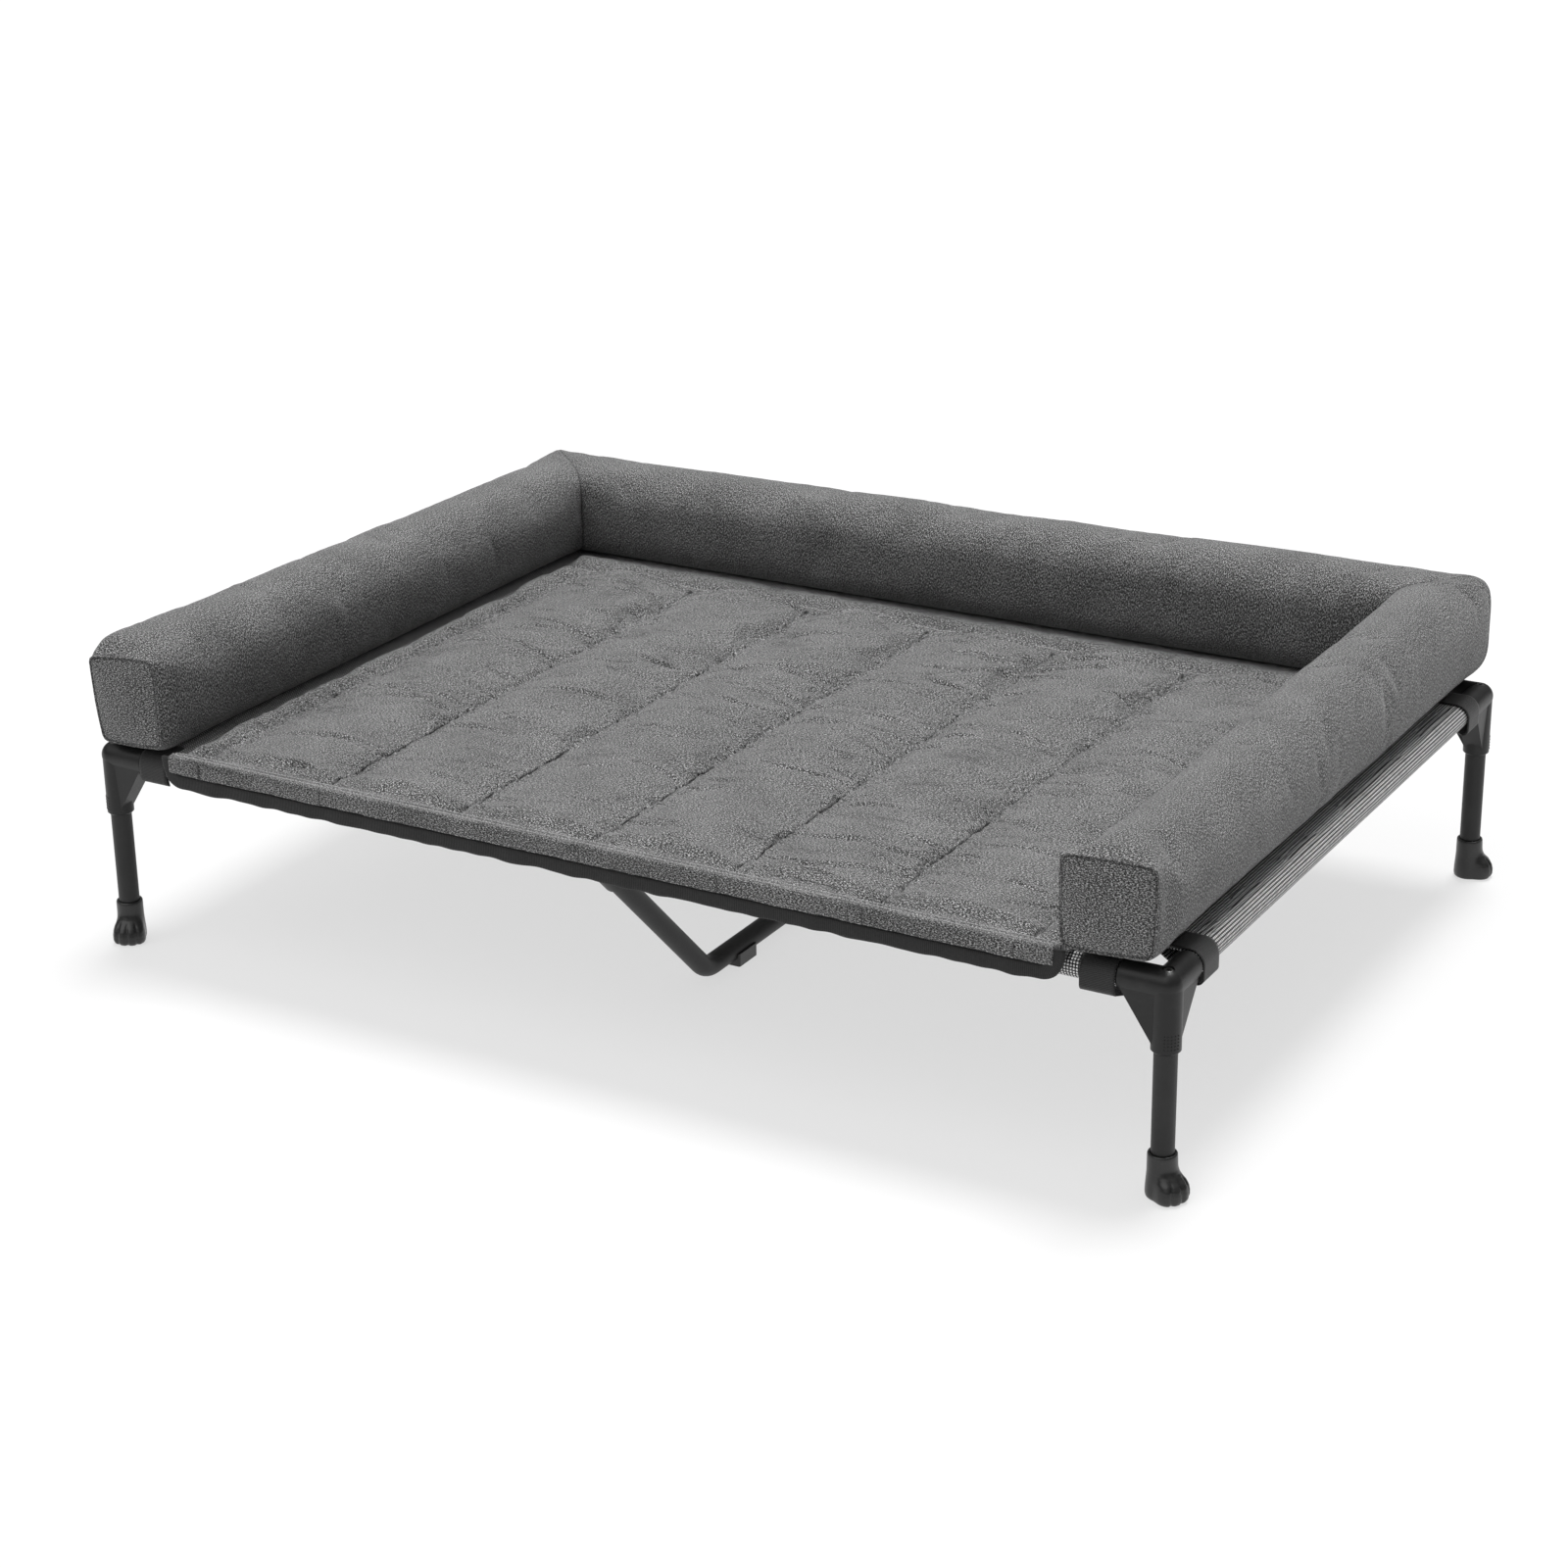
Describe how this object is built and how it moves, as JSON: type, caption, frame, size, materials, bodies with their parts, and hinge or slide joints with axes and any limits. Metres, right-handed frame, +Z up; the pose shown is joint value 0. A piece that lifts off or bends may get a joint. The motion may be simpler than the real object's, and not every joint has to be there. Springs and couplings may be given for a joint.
{
  "type": "raised dog bed",
  "caption": "Raised dog bed: tube frame with corner connectors and paw feet, mesh deck, middle support, and a lift-off quilted topper with bolsters on three sides.",
  "frame": {"origin": "on the floor, under the middle of the bed", "axes": "+X to the right along the length as seen from the open front, +Y from the open front to the back bolster, +Z up"},
  "size_m": [1.2543, 0.892, 0.3324],
  "materials": {
    "frame_tube": "matte",
    "connector_plastic": "satin",
    "foot_rubber": "satin",
    "insert_steel": "satin",
    "screw_steel": "satin",
    "deck_mesh": "matte",
    "strap_elastic": "matte",
    "binding_tape": "matte",
    "cover_fabric": "matte",
    "fibre_fill": "matte"
  },
  "bodies": {
    "frame": {"front_rail_left": "frame_tube", "front_rail_right": "frame_tube", "back_rail_left": "frame_tube", "back_rail_right": "frame_tube", "left_rail": "frame_tube", "right_rail": "frame_tube", "corner_connector_front_left": "connector_plastic", "corner_connector_front_right": "connector_plastic", "corner_connector_back_right": "connector_plastic", "corner_connector_back_left": "connector_plastic", "leg_front_left": "frame_tube", "leg_front_right": "frame_tube", "leg_back_right": "frame_tube", "leg_back_left": "frame_tube", "leg_inserts": "insert_steel", "leg_screws": "screw_steel", "middle_connector_front": "connector_plastic", "middle_connector_back": "connector_plastic", "middle_support": "frame_tube", "support_screws": "screw_steel", "support_nuts": "screw_steel", "support_pads": "foot_rubber", "mesh_deck": "deck_mesh", "corner_strap_front_left": "strap_elastic", "corner_strap_front_right": "strap_elastic", "corner_strap_back_right": "strap_elastic", "corner_strap_back_left": "strap_elastic"},
    "topper": {"mat_cover": "cover_fabric", "mat_fill": "fibre_fill", "front_binding": "binding_tape", "bolster_cover_left": "cover_fabric", "bolster_cover_right": "cover_fabric", "bolster_cover_back": "cover_fabric", "bolster_fill_left": "fibre_fill", "bolster_fill_right": "fibre_fill", "bolster_fill_back": "fibre_fill"},
    "foot_front_left": {"foot_front_left": "foot_rubber"},
    "foot_front_right": {"foot_front_right": "foot_rubber"},
    "foot_back_right": {"foot_back_right": "foot_rubber"},
    "foot_back_left": {"foot_back_left": "foot_rubber"}
  },
  "joints": [
    {"name": "topper_lift", "type": "slide", "parent": "frame", "child": "topper", "axis": [0, 0, 1], "range_m": [0, 0.08]},
    {"name": "foot_turn_front_left", "type": "hinge", "parent": "frame", "child": "foot_front_left", "pos_m": [-0.6, -0.4167, 0.02], "axis": [0, 0, 1], "continuous": true},
    {"name": "foot_turn_front_right", "type": "hinge", "parent": "frame", "child": "foot_front_right", "pos_m": [0.6, -0.4167, 0.02], "axis": [0, 0, 1], "continuous": true},
    {"name": "foot_turn_back_right", "type": "hinge", "parent": "frame", "child": "foot_back_right", "pos_m": [0.6, 0.4167, 0.02], "axis": [0, 0, 1], "continuous": true},
    {"name": "foot_turn_back_left", "type": "hinge", "parent": "frame", "child": "foot_back_left", "pos_m": [-0.6, 0.4167, 0.02], "axis": [0, 0, 1], "continuous": true}
  ]
}
